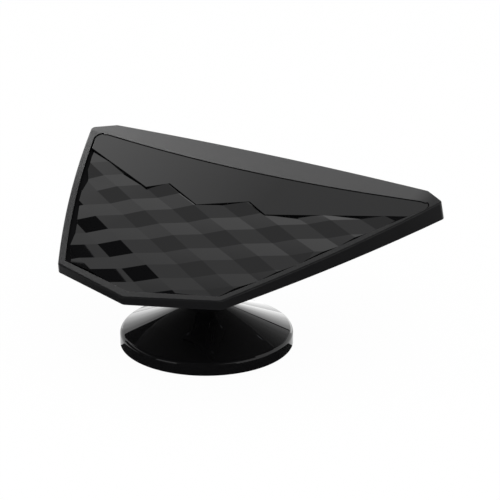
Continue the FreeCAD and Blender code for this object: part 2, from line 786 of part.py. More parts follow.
def make_pedestal():
    body = doc.addObject("PartDesign::Body", "pedestal")
    hole_top = f"({SCREW_SEAT} + base_screw_length + thread_clearance)"
    profile = body_sketch(body, "pedestal_profile", "XZ_Plane", [
        (RIM_INSIDE, "rim_lift"), ("base_radius", "rim_lift"), ("base_radius", "rim_height"),
        ("neck_foot_radius", "neck_foot_height"), ("neck_top_radius", "neck_top_height"),
        ("0", "neck_top_height"), ("0", hole_top), (SCREW_BORE, hole_top), (SCREW_BORE, BALLAST_TOP),
        ("post_radius", BALLAST_TOP),
        ("post_radius", under_cone("post_radius")), (RIM_INSIDE, under_cone(RIM_INSIDE))])
    turned = body.newObject("PartDesign::Revolution", "pedestal_turned")
    turned.Profile = profile
    turned.ReferenceAxis = (profile, ["V_Axis"])
    turned.Angle = 360
    rounded_in(body, "rim_rounding", "rim_round", lambda edge: is_ring(edge, "base_radius", "rim_height"))
    rounded_in(body, "neck_rounding", "neck_round",
               lambda edge: is_ring(edge, "neck_foot_radius", "neck_foot_height"))

    sketch = body_sketch(body, "knuckle_profile", "YZ_Plane", [
        ("-knuckle_web_half", "neck_top_height"), ("knuckle_web_half", "neck_top_height"),
        ("knuckle_web_half", HINGE_HEIGHT), ("-knuckle_web_half", HINGE_HEIGHT)])
    knuckle_web = body.newObject("PartDesign::Pad", "knuckle_web")
    knuckle_web.Profile = sketch
    knuckle_web.Midplane = True
    bind(knuckle_web, Length="knuckle_width")
    for name, kind, radius, length in (("knuckle_eye", "Pad", "knuckle_radius", "knuckle_width"),
                                       ("knuckle_bore", "Pocket", "bolt_radius + bolt_clearance",
                                        "2 * knuckle_width")):
        circle = body.newObject("Sketcher::SketchObject", name + "_circle")
        circle.AttachmentSupport = [item for item in body.Origin.OriginFeatures if item.Role == "YZ_Plane"]
        circle.MapMode = "FlatFace"
        ring = circle.addGeometry(Part.Circle(V(0, number(HINGE_HEIGHT), 0), V(0, 0, 1), number(radius)))
        circle.addConstraint(Sketcher.Constraint("PointOnObject", ring, 3, -2))
        for kind_of, text in (("Radius", radius), ("DistanceY", HINGE_HEIGHT)):
            spot = (ring,) if kind_of == "Radius" else (ring, 3)
            index = circle.addConstraint(Sketcher.Constraint(kind_of, *spot, number(text)))
            circle.setExpression(f"Constraints[{index}]", formula(text))
        feature = body.newObject("PartDesign::" + kind, name)
        feature.Profile = circle
        feature.Midplane = True
        bind(feature, Length=length)
    on_base("pedestal", body)


def turned_ring(name, radius, bore, bottom, height):
    return cut(name, cylinder(name + "_disc", radius, height, z=bottom),
               cylinder(name + "_bore", bore, f"2 * ({height})", z=f"{bottom} - ({height}) / 2"))


def make_base():
    make_pedestal()
    screw_hole = "base_screw_radius + screw_clearance"
    plate = turned_ring("plate_ring", f"{RIM_INSIDE} - plate_clearance", screw_hole,
                        "pad_thickness", "plate_thickness")
    well = cylinder("plate_well", "base_screw_head_radius + plate_clearance", f"{SCREW_SEAT} - pad_thickness",
                    z="pad_thickness")
    on_base("base_plate", cut("base_plate", plate, well))
    on_base("ballast_disc", turned_ring("ballast_disc", "ballast_radius", screw_hole,
                                        PLATE_TOP, "ballast_thickness"))
    head = cylinder("base_screw_head", "base_screw_head_radius", "base_screw_head_height",
                    z=f"{SCREW_SEAT} - base_screw_head_height")
    shank = cylinder("base_screw_shank", "base_screw_radius", "base_screw_length", z=SCREW_SEAT)
    on_base("base_screw", join("base_screw", head, shank))
    on_base("anti_slip_pad", cylinder("anti_slip_pad", "pad_radius", "pad_thickness"))


make_front_frame()
make_inserts()
make_rear_cover()
make_board()
make_gland()
make_hinge()
make_base()
doc.recompute()

for item in doc.Objects:
    if "Invalid" in item.State or "Error" in item.State:
        raise RuntimeError(f"{item.Name} failed: {item.State}")
for item in nodes:
    if item.Shape.isNull() or not item.Shape.isValid():
        raise RuntimeError(f"{item.Label} has no valid shape")

os.makedirs("parts", exist_ok=True)
for item in nodes:
    item.Shape.exportStep(f"parts/{item.Label}.step")
    print(f"{item.Label}: {len(item.Shape.Solids)} solids, {item.Shape.Volume:.1f} mm3")
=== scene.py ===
import json
import math

import bmesh
import bpy
import numpy
from mathutils import Matrix, Vector


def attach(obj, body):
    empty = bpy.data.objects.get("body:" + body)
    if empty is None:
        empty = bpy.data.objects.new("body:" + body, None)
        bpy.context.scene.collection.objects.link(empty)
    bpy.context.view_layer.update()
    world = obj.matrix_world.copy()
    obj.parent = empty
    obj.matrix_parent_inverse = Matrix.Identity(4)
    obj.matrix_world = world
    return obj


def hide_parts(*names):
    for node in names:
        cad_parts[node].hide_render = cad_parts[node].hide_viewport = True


# Indoor TV antenna: finishes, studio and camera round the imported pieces. Lengths are in metres.
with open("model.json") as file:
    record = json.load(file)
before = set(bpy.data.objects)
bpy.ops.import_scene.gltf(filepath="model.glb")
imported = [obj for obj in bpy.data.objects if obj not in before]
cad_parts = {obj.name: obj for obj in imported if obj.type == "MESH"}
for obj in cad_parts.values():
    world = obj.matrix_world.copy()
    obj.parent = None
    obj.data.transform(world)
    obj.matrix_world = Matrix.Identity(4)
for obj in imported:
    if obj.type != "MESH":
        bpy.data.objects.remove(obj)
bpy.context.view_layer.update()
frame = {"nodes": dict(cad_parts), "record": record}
MM = 0.001
nodes = frame["nodes"]
bodies = frame["record"]["behaviour"]["bodies"]
body_of_node = {node: body for body, members in bodies.items() for node in members}
slot_of_node = {part["node"]: part["material_slot"] for part in frame["record"]["subparts"]}


# The panel at rest: its slope, the direction up from its face, the one to its back edge, its face's level
PANEL_SLOPE = math.radians(10.6)
PANEL_UP = Vector((0, -math.sin(PANEL_SLOPE), math.cos(PANEL_SLOPE)))
PANEL_BACK = Vector((0, math.cos(PANEL_SLOPE), math.sin(PANEL_SLOPE)))
FACE_LEVEL = 76.04 * MM

# Border of the wide strip: its place in the middle, how far it bows back, and how far out that is
STRIP_BORDER = 67.4 * MM
BOW_DEPTH = 7.6 * MM
BOW_REACH = 107 * MM
STRIP_BOW = BOW_DEPTH / BOW_REACH ** 2


# Materials

def linear(code):
    """Linear colour of an sRGB hex value."""
    parts = [int(code[i:i + 2], 16) / 255 for i in (1, 3, 5)]
    return [c / 12.92 if c <= 0.04045 else ((c + 0.055) / 1.055) ** 2.4 for c in parts] + [1.0]


def per_metre(size_mm):
    """Scale of a texture whose features are that many millimetres apart."""
    return 1 / (size_mm * MM)


def add(tree, kind, inputs=None, **settings):
    """Adds one node with its settings; an input is a value, or a socket that is linked to it."""
    made = tree.nodes.new(kind)
    for name, value in settings.items():
        setattr(made, name, value)
    for name, value in (inputs or {}).items():
        if isinstance(value, bpy.types.NodeSocket):
            tree.links.new(value, made.inputs[name])
        else:
            made.inputs[name].default_value = value
    return made


def surface(name, **sockets):
    """A new material, its node tree, its main shader and the object coordinates that patterns read."""
    material = bpy.data.materials.new(name)
    material.use_nodes = True
    tree = material.node_tree
    shader = tree.nodes["Principled BSDF"]
    for socket, value in sockets.items():
        shader.inputs[socket.replace("_", " ")].default_value = value
    coordinates = add(tree, "ShaderNodeTexCoord").outputs["Object"]
    return material, tree, shader, coordinates


# Painted sheen of the frame, as a level of its reflections that stands in for light: the strip, the bezel,
# and the left bezel at both ends
STRIP_PAINTED_SHEEN = 1.05
BEZEL_PAINTED_SHEEN = 0.20
LEFT_PAINTED_SHEEN_BACK = 0.56
LEFT_PAINTED_SHEEN_NOSE = 0.145
# Where the painted sheen changes: over the strip's border, at the strip's right end, along the left bezel
# from the nose to the back, and from the left bezel to the rest
BORDER_FADE = 1 * MM
STRIP_FADE_START = 98 * MM
STRIP_FADE_END = 114 * MM
LEFT_FADE_NOSE = 15 * MM
LEFT_FADE_BACK = 63 * MM
LEFT_BEZEL_OUTER = -62 * MM
LEFT_BEZEL_INNER = -38 * MM
# What lies lower than this under the face, and looks up, is the recess's floor, which gets painted shade
RECESS_DEPTH = 1.5 * MM
# A surface looks a way when its normal has more than this share of it
LOOKING_SHARE = 0.5


def strip_share(tree, along, across):
    """1 on the wide strip along the panel's back edge, fading at its right end, and 0 on the bezel."""
    bow = add(tree, "ShaderNodeMath", {0: across, 1: across}, operation="MULTIPLY").outputs["Value"]
    border = add(tree, "ShaderNodeMath", {0: bow, 1: STRIP_BOW, 2: STRIP_BORDER}, operation="MULTIPLY_ADD")
    beyond = add(tree, "ShaderNodeMath", {0: along, 1: border.outputs["Value"]}, operation="SUBTRACT")
    inside = add(tree, "ShaderNodeMapRange", {"Value": beyond.outputs["Value"], "From Min": -BORDER_FADE,
                                              "From Max": 0.0})
    end = add(tree, "ShaderNodeMapRange", {"Value": across, "From Min": STRIP_FADE_START,
                                           "From Max": STRIP_FADE_END, "To Min": 1.0, "To Max": 0.0},
              interpolation_type="SMOOTHSTEP")
    return add(tree, "ShaderNodeMath", {0: inside.outputs["Result"], 1: end.outputs["Result"]},
               operation="MULTIPLY").outputs["Value"]


def bezel_painted_sheen(tree, along, across):
    """Painted sheen of the narrow bezel: even, but at the left it fades from the strip to the nose."""
    fade = add(tree, "ShaderNodeMapRange", {"Value": along, "From Min": LEFT_FADE_NOSE,
                                            "From Max": LEFT_FADE_BACK, "To Min": LEFT_PAINTED_SHEEN_NOSE,
                                            "To Max": LEFT_PAINTED_SHEEN_BACK})
    painted_sheen = add(tree, "ShaderNodeMapRange", {"Value": across, "From Min": LEFT_BEZEL_OUTER,
                                              "From Max": LEFT_BEZEL_INNER, "To Min": fade.outputs["Result"],
                                              "To Max": BEZEL_PAINTED_SHEEN})
    return painted_sheen.outputs["Result"]


def recess_shade_mask(tree, place, across):
    """Mask of the painted shade in the recess: 1 on walls that face the panel's middle line and on the
    floor, and 0 elsewhere.
    """
    normal = add(tree, "ShaderNodeTexCoord").outputs["Normal"]
    side = add(tree, "ShaderNodeMath", {0: across}, operation="SIGN").outputs["Value"]
    facing = add(tree, "ShaderNodeSeparateXYZ", {"Vector": normal}).outputs["X"]
    outward = add(tree, "ShaderNodeMath", {0: facing, 1: side}, operation="MULTIPLY").outputs["Value"]
    wall = add(tree, "ShaderNodeMath", {0: outward, 1: -LOOKING_SHARE},
               operation="LESS_THAN").outputs["Value"]
    height = add(tree, "ShaderNodeVectorMath", {0: place, 1: PANEL_UP}, operation="DOT_PRODUCT")
    deep = add(tree, "ShaderNodeMath", {0: height.outputs["Value"], 1: FACE_LEVEL - RECESS_DEPTH},
               operation="LESS_THAN").outputs["Value"]
    rise = add(tree, "ShaderNodeVectorMath", {0: normal, 1: PANEL_UP}, operation="DOT_PRODUCT")
    level = add(tree, "ShaderNodeMath", {0: rise.outputs["Value"], 1: LOOKING_SHARE},
                operation="GREATER_THAN").outputs["Value"]
    floor = add(tree, "ShaderNodeMath", {0: deep, 1: level}, operation="MULTIPLY").outputs["Value"]
    return add(tree, "ShaderNodeMath", {0: wall, 1: floor}, operation="MAXIMUM").outputs["Value"]


def satin_abs():
    """ABS from a fine spark-eroded mould: a grain too fine to see by itself, which spreads reflections.
    The wide strip's reflections are painted brighter than the bezel's, with a painted sheen that fades at
    the strip's right end and along the left bezel to the nose, and the recess's walls and floor get painted
    shade."""
    material, tree, shader, place = surface("satin_abs", IOR=1.54)
    patches = add(tree, "ShaderNodeTexNoise", {"Vector": place, "Scale": per_metre(30), "Detail": 3.0})
    rough = add(tree, "ShaderNodeMapRange", {"Value": patches.outputs["Fac"], "To Min": 0.27,
                                             "To Max": 0.33})
    tree.links.new(rough.outputs["Result"], shader.inputs["Roughness"])
    tint = add(tree, "ShaderNodeMix", {"Factor": patches.outputs["Fac"], "A": linear("#131314"),
                                       "B": linear("#171718")}, data_type="RGBA")
    tree.links.new(tint.outputs["Result"], shader.inputs["Base Color"])
    along = add(tree, "ShaderNodeVectorMath", {0: place, 1: PANEL_BACK},
                operation="DOT_PRODUCT").outputs["Value"]
    across = add(tree, "ShaderNodeSeparateXYZ", {"Vector": place}).outputs["X"]
    # Painted sheen: the level of reflections is set by place on the frame and stands in for light
    painted_sheen = add(tree, "ShaderNodeMapRange", {"Value": strip_share(tree, along, across),
                                              "To Min": bezel_painted_sheen(tree, along, across),
                                              "To Max": STRIP_PAINTED_SHEEN})
    # Painted shade: the recess's walls and floor lose their reflections
    unshaded_part = add(tree, "ShaderNodeMath", {0: 1.0, 1: recess_shade_mask(tree, place, across)},
                    operation="SUBTRACT")
    level = add(tree, "ShaderNodeMath", {0: painted_sheen.outputs["Result"], 1: unshaded_part.outputs["Value"]},
                operation="MULTIPLY")
    tree.links.new(level.outputs["Value"], shader.inputs["Specular IOR Level"])
    grain = add(tree, "ShaderNodeTexNoise", {"Vector": place, "Scale": per_metre(0.5), "Detail": 2.0})
    bump = add(tree, "ShaderNodeBump", {"Height": grain.outputs["Fac"], "Strength": 0.12,
                                        "Distance": 0.02 * MM})
    tree.links.new(bump.outputs["Normal"], shader.inputs["Normal"])
    return material


def polished_abs():
    """ABS from a polished mould: clear reflections, a little uneven where the moulding has shrunk."""
    material, tree, shader, place = surface("polished_abs", IOR=1.34)
    patches = add(tree, "ShaderNodeTexNoise", {"Vector": place, "Scale": per_metre(25), "Detail": 2.0})
    rough = add(tree, "ShaderNodeMapRange", {"Value": patches.outputs["Fac"], "To Min": 0.01,
                                             "To Max": 0.02})
    tree.links.new(rough.outputs["Result"], shader.inputs["Roughness"])
    tint = add(tree, "ShaderNodeMix", {"Factor": patches.outputs["Fac"], "A": linear("#080809"),
                                       "B": linear("#0b0b0c")}, data_type="RGBA")
    tree.links.new(tint.outputs["Result"], shader.inputs["Base Color"])
    sink = add(tree, "ShaderNodeTexNoise", {"Vector": place, "Scale": per_metre(14), "Detail": 1.0})
    bump = add(tree, "ShaderNodeBump", {"Height": sink.outputs["Fac"], "Strength": 0.05,
                                        "Distance": 0.05 * MM})
    tree.links.new(bump.outputs["Normal"], shader.inputs["Normal"])
    return material


def piano_black():
    """High-gloss black ABS of the base: mirror-like, with a faint ripple from the moulding."""
    material, tree, shader, place = surface("piano_black_abs", IOR=1.4)
    ripple = add(tree, "ShaderNodeTexNoise", {"Vector": place, "Scale": per_metre(9), "Detail": 1.0})
    rough = add(tree, "ShaderNodeMapRange", {"Value": ripple.outputs["Fac"], "To Min": 0.015,
                                             "To Max": 0.03})
    tree.links.new(rough.outputs["Result"], shader.inputs["Roughness"])
    tint = add(tree, "ShaderNodeMix", {"Factor": ripple.outputs["Fac"], "A": linear("#0c0c0d"),
                                       "B": linear("#0e0e0f")}, data_type="RGBA")
    tree.links.new(tint.outputs["Result"], shader.inputs["Base Color"])
    bump = add(tree, "ShaderNodeBump", {"Height": ripple.outputs["Fac"], "Strength": 0.03,
                                        "Distance": 0.04 * MM})
    tree.links.new(bump.outputs["Normal"], shader.inputs["Normal"])
    return material


def textured_abs():
    """ABS from an etched mould, as on backs and undersides: dull, with a pebbled grain.
    The real grain is about 0.3 mm and is drawn at 0.9 mm so that it shows."""
    material, tree, shader, place = surface("etched_abs", IOR=1.46)
    pebbles = add(tree, "ShaderNodeTexVoronoi", {"Vector": place, "Scale": per_metre(0.9)},
                  feature="SMOOTH_F1")
    rough = add(tree, "ShaderNodeMapRange", {"Value": pebbles.outputs["Distance"], "To Min": 0.5,
                                             "To Max": 0.62})
    tree.links.new(rough.outputs["Result"], shader.inputs["Roughness"])
    tint = add(tree, "ShaderNodeMix", {"Factor": pebbles.outputs["Distance"], "A": linear("#1b1b1c"),
                                       "B": linear("#161617")}, data_type="RGBA")
    tree.links.new(tint.outputs["Result"], shader.inputs["Base Color"])
    bump = add(tree, "ShaderNodeBump", {"Height": pebbles.outputs["Distance"], "Strength": 0.25,
                                        "Distance": 0.05 * MM}, invert=True)
    tree.links.new(bump.outputs["Normal"], shader.inputs["Normal"])
    return material


def moulded_rubber():
    """Black moulded rubber: dull, with a dusty bloom in patches."""
    material, tree, shader, place = surface("moulded_rubber", IOR=1.5, Roughness=0.82)
    bloom = add(tree, "ShaderNodeTexNoise", {"Vector": place, "Scale": per_metre(6), "Detail": 5.0})
    tint = add(tree, "ShaderNodeMix", {"Factor": bloom.outputs["Fac"], "A": linear("#17171a"),
                                       "B": linear("#242426")}, data_type="RGBA")
    tree.links.new(tint.outputs["Result"], shader.inputs["Base Color"])
    grain = add(tree, "ShaderNodeTexNoise", {"Vector": place, "Scale": per_metre(0.7), "Detail": 3.0})
    bump = add(tree, "ShaderNodeBump", {"Height": grain.outputs["Fac"], "Strength": 0.3,
                                        "Distance": 0.05 * MM})
    tree.links.new(bump.outputs["Normal"], shader.inputs["Normal"])
    return material


GLOSS_SPREAD = 0.06


def plated(name, dark, pale, roughness, grain_mm):
    """A metal with a worn or crystalline look: patches of two tones and an uneven gloss."""
    material, tree, shader, place = surface(name, Metallic=1.0)
    grain = add(tree, "ShaderNodeTexNoise", {"Vector": place, "Scale": per_metre(grain_mm), "Detail": 4.0})
    tint = add(tree, "ShaderNodeMix", {"Factor": grain.outputs["Fac"], "A": linear(dark),
                                       "B": linear(pale)}, data_type="RGBA")
    tree.links.new(tint.outputs["Result"], shader.inputs["Base Color"])
    rough = add(tree, "ShaderNodeMapRange", {"Value": grain.outputs["Fac"],
                                             "To Min": roughness - GLOSS_SPREAD,
                                             "To Max": roughness + GLOSS_SPREAD})
    tree.links.new(rough.outputs["Result"], shader.inputs["Roughness"])
    return material


def solder_mask():
    """Green lacquer over a glass-cloth board, whose weave just shows through."""
    material, tree, shader, place = surface("solder_mask", IOR=1.5, Roughness=0.35)
    weave = add(tree, "ShaderNodeTexWave", {"Vector": place, "Scale": per_metre(3), "Distortion": 0.6})
    tint = add(tree, "ShaderNodeMix", {"Factor": weave.outputs["Fac"], "A": linear("#12522a"),
                                       "B": linear("#176034")}, data_type="RGBA")
    tree.links.new(tint.outputs["Result"], shader.inputs["Base Color"])
    return material


def sintered_ferrite():
    """Pressed and fired ferrite: dark grey, dull and slightly speckled."""
    material, tree, shader, place = surface("sintered_ferrite", IOR=1.8, Roughness=0.6)
    specks = add(tree, "ShaderNodeTexNoise", {"Vector": place, "Scale": per_metre(0.4), "Detail": 4.0})
    tint = add(tree, "ShaderNodeMix", {"Factor": specks.outputs["Fac"], "A": linear("#26262a"),
                                       "B": linear("#3a3a3d")}, data_type="RGBA")
    tree.links.new(tint.outputs["Result"], shader.inputs["Base Color"])
    return material


def natural_nylon():
    """Uncoloured nylon: milky, with a soft gloss and light passing a little way in."""
    material, tree, shader, place = surface("natural_nylon", IOR=1.53, Roughness=0.4, Subsurface_Weight=0.2)
    cloud = add(tree, "ShaderNodeTexNoise", {"Vector": place, "Scale": per_metre(4), "Detail": 2.0})
    tint = add(tree, "ShaderNodeMix", {"Factor": cloud.outputs["Fac"], "A": linear("#dcd9cf"),
                                       "B": linear("#e8e6de")}, data_type="RGBA")
    tree.links.new(tint.outputs["Result"], shader.inputs["Base Color"])
    return material


FINISHES = {
    "frame_abs": satin_abs(),
    "insert_abs": polished_abs(),
    "base_abs": piano_black(),
    "cover_abs": textured_abs(),
    "rubber": moulded_rubber(),
    "screw_steel": plated("zinc_plated_steel", "#85888e", "#a6a8ac", 0.4, 2.0),
    "ballast_steel": plated("cast_iron", "#4c4c4e", "#636365", 0.6, 1.5),
    "tin_plate": plated("tin_plate", "#b9babc", "#d0d1d2", 0.28, 5.0),
    "foil": plated("copper_foil", "#b8734b", "#cf8b62", 0.32, 4.0),
    "board": solder_mask(),
    "ferrite": sintered_ferrite(),
    "washer_nylon": natural_nylon(),
}


# Pieces

# Angles between two faces: up to the first they are one flat area, over the second they meet in a sharp
# edge, and over the third in a fold of the facets
FLAT_LIMIT = math.radians(0.2)
SHARP_LIMIT = math.radians(32)
FOLD_LIMIT = math.radians(2)
# Corners this close are one corner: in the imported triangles, and among the facets
SAME_CORNER = 0.001 * MM
SLIVER = 0.3 * MM
# Rounding of the two inserts' edges
INSERT_EDGE = 0.2 * MM
EDGE_SEGMENTS = 2
# Shares of a direction in a face's normal: a wall has less of the panel's up than the first, a face looks
# a way with more of it than the second, backwards with more than the third, and is level with more of up
# than the last
WALL_SHARE = 0.4
SIDE_SHARE = 0.6
BACK_SHARE = 0.4
LEVEL_SHARE = 0.9999
# A wall's middle lies no further than this under the panel's face, and a trimmed summit this near to it
NEAR_FACE = 2.0 * MM
SUMMIT_TRIM = 0.02 * MM


def joined(name):
    """A CAD piece's triangles as one mesh: doubles merged, and flat areas made whole."""
    shape = bmesh.new()
    shape.from_mesh(nodes[name].data)
    bmesh.ops.remove_doubles(shape, verts=shape.verts, dist=SAME_CORNER)
    bmesh.ops.dissolve_limit(shape, angle_limit=FLAT_LIMIT, verts=shape.verts, edges=shape.edges)
    return shape


def sharp_edges(shape, limit):
    return [edge for edge in shape.edges if len(edge.link_faces) == 2 and edge.calc_face_angle() > limit]


def dress(name, shape, limit=SHARP_LIMIT):
    """Makes a piece of a mesh that stands for a CAD node: smooth over its curves, with the node's finish."""
    for face in shape.faces:
        face.smooth = True
    sharp = set(sharp_edges(shape, limit))
    for edge in shape.edges:
        edge.smooth = edge not in sharp
    mesh = bpy.data.meshes.new(name + "_skin")
    shape.to_mesh(mesh)
    shape.free()
    if "custom_normal" in mesh.attributes:
        mesh.attributes.remove(mesh.attributes["custom_normal"])
    piece = bpy.data.objects.new(name + "_skin", mesh)
    bpy.context.scene.collection.objects.link(piece)
    mesh.materials.clear()
    mesh.materials.append(FINISHES[slot_of_node[name]])
    for face in mesh.polygons:
        face.material_index = 0
    normals = piece.modifiers.new("even_shading", "WEIGHTED_NORMAL")
    normals.keep_sharp = True
    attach(piece, body_of_node[name])
    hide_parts(name)


def soften(shape, radius):
    """Rounds the sharp edges of a moulding, which catch a thin line of light."""
    bmesh.ops.bevel(shape, geom=sharp_edges(shape, SHARP_LIMIT), offset=radius, offset_type="OFFSET",
                    segments=EDGE_SEGMENTS, profile=0.5, affect="EDGES", material=-1, clamp_overlap=True)
    return shape


def height_from_face(point):
    return point.dot(PANEL_UP) - FACE_LEVEL


def is_wall(face):
    """Whether a face of the panel is upright."""
    return abs(face.normal.dot(PANEL_UP)) < WALL_SHARE


def walls_near_face(shape):
    return [face for face in shape.faces
            if is_wall(face) and height_from_face(face.calc_center_median()) > -NEAR_FACE]


def side_walls(shape, facing, reach):
    """Walls at the panel's two sides, near its face and further out than reach.
    Facing is 1 for walls that look outwards and -1 for walls that look inwards."""
    found = []
    for face in walls_near_face(shape):
        across = face.calc_center_median().x
        outward = face.normal.x * facing * math.copysign(1, across)
        if outward > SIDE_SHARE and abs(across) > reach:
            found.append(face)
    return found


def recess_walls(shape):
    """Walls near the panel's face that look to its middle line or from the strip to the nose."""
    found = []
    for face in walls_near_face(shape):
        inward = face.normal.x * math.copysign(1, face.calc_center_median().x) < 0
        if inward or face.normal.dot(PANEL_BACK) < -SIDE_SHARE:
            found.append(face)
    return found


def move_walls(walls, distance):
    """Moves walls along their normals, and what meets them goes along."""
    pulls = {}
    for face in walls:
        for corner in face.verts:
            pulls.setdefault(corner, []).append(face.normal.copy())
    for corner, normals in pulls.items():
        corner.co += sum(normals, Vector()).normalized() * distance


def stretch_end(corners, start, share):
    """Draws the right end of the recess or of an insert out, by a share of what lies beyond the start."""
    for corner in corners:
        corner.co.x += share * max(corner.co.x - start, 0)


# A border goes back along a fold by no more than this share of it, and a fold that runs along the border
# counts as running back by at least this share
FOLD_MOST = 0.6
FOLD_LEAST = 0.4


def retreat(walls, least, per_depth):
    """Draws a border back along the folds that end there, further where it lies deeper."""
    moves = {}
    for corner in {corner for face in walls for corner in face.verts}:
        amount = least - per_depth * height_from_face(corner.co)
        beside = [face.normal for face in corner.link_faces if face in walls]
        inward = -sum(beside, Vector()).normalized()
        folds = [edge for edge in corner.link_edges if not any(face in walls for face in edge.link_faces)]
        on_top = [face.normal for face in corner.link_faces if face.normal.dot(PANEL_UP) > SIDE_SHARE]
        if folds and on_top:
            fold = max(((edge.other_vert(corner).co - corner.co) for edge in folds),
                       key=lambda way: way.normalized().dot(inward))
            share = max(fold.normalized().dot(inward), FOLD_LEAST)
            moves[corner] = fold.normalized() * min(amount / share, FOLD_MOST * fold.length)
        elif on_top:
            moves[corner] = (inward - on_top[0] * inward.dot(on_top[0])) * amount
        else:
            moves[corner] = inward * amount
    for corner, move in moves.items():
        corner.co += move


def pointed(shape):
    """Draws the folds' summits, which the face's level trims by a hair, out to points."""
    flats = [face for face in shape.faces if face.normal.dot(PANEL_UP) > LEVEL_SHARE
             and abs(height_from_face(face.calc_center_median())) < SUMMIT_TRIM]
    for flat in flats:
        slopes = {face for edge in flat.edges for face in edge.link_faces if face != flat}
        slopes = [face for face in slopes if face.normal.dot(PANEL_UP) > SIDE_SHARE]
        if len(slopes) > 2:
            planes = [face.normal.copy() for face in slopes]
            offsets = [face.normal.dot(face.verts[0].co) for face in slopes]
            apex = numpy.linalg.lstsq(numpy.array(planes), numpy.array(offsets), rcond=None)[0]
            bmesh.ops.pointmerge(shape, verts=flat.verts, merge_co=Vector(apex))
    return shape


# The base: radius of the neck's foot and of the rim, and what lies over the rim's foot rises by so much
NECK_FOOT = 13 * MM
BASE_RADIUS = 50 * MM
RIM_FOOT = 3.2 * MM
RIM_RISE = 2.4 * MM


def dress_pedestal():
    """The base's moulding: the rim is lifted and the cone flattened to meet it. Neck and underside stay."""
    shape = joined("pedestal")
    for corner in shape.verts:
        out = (math.hypot(corner.co.x, corner.co.y) - NECK_FOOT) / (BASE_RADIUS - NECK_FOOT)
        if out > 0 and corner.co.z > RIM_FOOT:
            corner.co.z += RIM_RISE * out
    dress("pedestal", shape)


# The right end of the recess and of the smooth insert: what lies beyond the start is drawn out by this share
END_START = 95 * MM
END_SHARE = 0.28
# The side bezels: how far out they begin, and how much slimmer they are
BEZEL_REACH = 40 * MM
BEZEL_SLIMMER_LEFT = 2.0 * MM
BEZEL_SLIMMER_RIGHT = 1.5 * MM


def dress_front_frame():
    """The front shell: its recess is drawn out at the right end, and its side bezels are slimmer."""
    shape = joined("front_frame")
    stretch_end({corner for face in recess_walls(shape) for corner in face.verts}, END_START, END_SHARE)
    sides = side_walls(shape, -1, BEZEL_REACH)
    move_walls([face for face in sides if face.calc_center_median().x < 0], -BEZEL_SLIMMER_LEFT)
    move_walls([face for face in sides if face.calc_center_median().x > 0], -BEZEL_SLIMMER_RIGHT)
    dress("front_frame", shape)


# The smooth insert's ends lie further out than this, and each is longer by so much
TRIM_END = 95 * MM
TRIM_LONGER = 1.5 * MM


def dress_trim_panel():
    """The smooth insert: longer at both ends, drawn out with the recess at the right, with rounded edges."""
    shape = joined("trim_panel")
    stretch_end(shape.verts, END_START, END_SHARE)
    move_walls(side_walls(shape, 1, TRIM_END), TRIM_LONGER)
    dress("trim_panel", soften(shape, INSERT_EDGE))


# The facets' right end is drawn out like the recess's
FACET_END_START = 92 * MM
FACET_END_SHARE = 0.33
# The slot along the smooth insert is wider by this from here to the right
SLOT_WIDER = 0.5 * MM
SLOT_LEFT_END = -40 * MM
# The left border lies further left than this, and goes back by its depth times the share less the start
WAVE_RIGHT_END = -48 * MM
WAVE_START = 0.5 * MM
WAVE_SHARE = 1.3


def dress_facet_panel():
    """The folded insert: pointed summits, a wider slot to the smooth insert, a left border that waves."""
    shape = pointed(joined("facet_panel"))
    bmesh.ops.remove_doubles(shape, verts=shape.verts, dist=SLIVER)
    walls = [face for face in shape.faces if is_wall(face)]
    beside_slot = [face for face in walls if face.normal.dot(PANEL_BACK) > BACK_SHARE
                   and face.calc_center_median().x > SLOT_LEFT_END]
    move_walls(beside_slot, -SLOT_WIDER)
    stretch_end(shape.verts, FACET_END_START, FACET_END_SHARE)
    left_border = [face for face in walls if face.normal.x < -SIDE_SHARE and face.normal.dot(PANEL_BACK) < 0
                   and face.calc_center_median().x < WAVE_RIGHT_END]
    retreat(left_border, -WAVE_START, WAVE_SHARE)
    dress("facet_panel", soften(shape, INSERT_EDGE), FOLD_LIMIT)


for node in ("rear_cover", "hinge_bracket", "hinge_caps", "cable_gland", "base_plate", "anti_slip_pad"):
    dress(node, joined(node))
dress_pedestal()
dress_front_frame()
dress_trim_panel()
dress_facet_panel()
for node, piece in nodes.items():
    piece.data.materials.clear()
    piece.data.materials.append(FINISHES[slot_of_node[node]])


# The photograph's viewpoint

VIEW_AZIMUTH = 30.67
VIEW_ELEVATION = 22.39
VIEW_TARGET = Vector((21.58, 12.70, 57.12)) * MM
VIEW_DISTANCE = 2176.4 * MM
LENS_MM = 273.7
SENSOR_MM = 36.0
FAR_CLIP = 100


def heading(azimuth, elevation):
    """Direction from the object: azimuth from +Y towards +X, in degrees."""
    a, e = math.radians(azimuth), math.radians(elevation)
    return Vector((math.sin(a) * math.cos(e), math.cos(a) * math.cos(e), math.sin(e)))


def facing_back(target, direction, distance):
    """Placement of a lamp or a camera that is away from a target in a direction and faces it."""
    facing = (-direction).to_track_quat("-Z", "Y").to_matrix().to_4x4()
    return Matrix.Translation(target + direction * distance) @ facing


def make_camera():
    data = bpy.data.cameras.new("camera")
    data.sensor_fit = "HORIZONTAL"
    data.sensor_width = SENSOR_MM
    data.lens = LENS_MM
    data.clip_end = FAR_CLIP
    camera = bpy.data.objects.new("camera", data)
    bpy.context.scene.collection.objects.link(camera)
    away = heading(180 - VIEW_AZIMUTH, VIEW_ELEVATION)
    camera.matrix_world = facing_back(VIEW_TARGET, away, VIEW_DISTANCE)
    bpy.context.scene.camera = camera


# Studio

FLOOR_HALF = 6.0
FLOOR_GLOW_SHARE = 0.97
WORLD_LIGHT = 0.95


def quad(name, corners):
    """A flat four-sided sheet."""
    shape = bmesh.new()
    shape.faces.new([shape.verts.new(corner) for corner in corners])
    mesh = bpy.data.meshes.new(name)
    shape.to_mesh(mesh)
    shape.free()
    sheet = bpy.data.objects.new(name, mesh)
    bpy.context.scene.collection.objects.link(sheet)
    return sheet


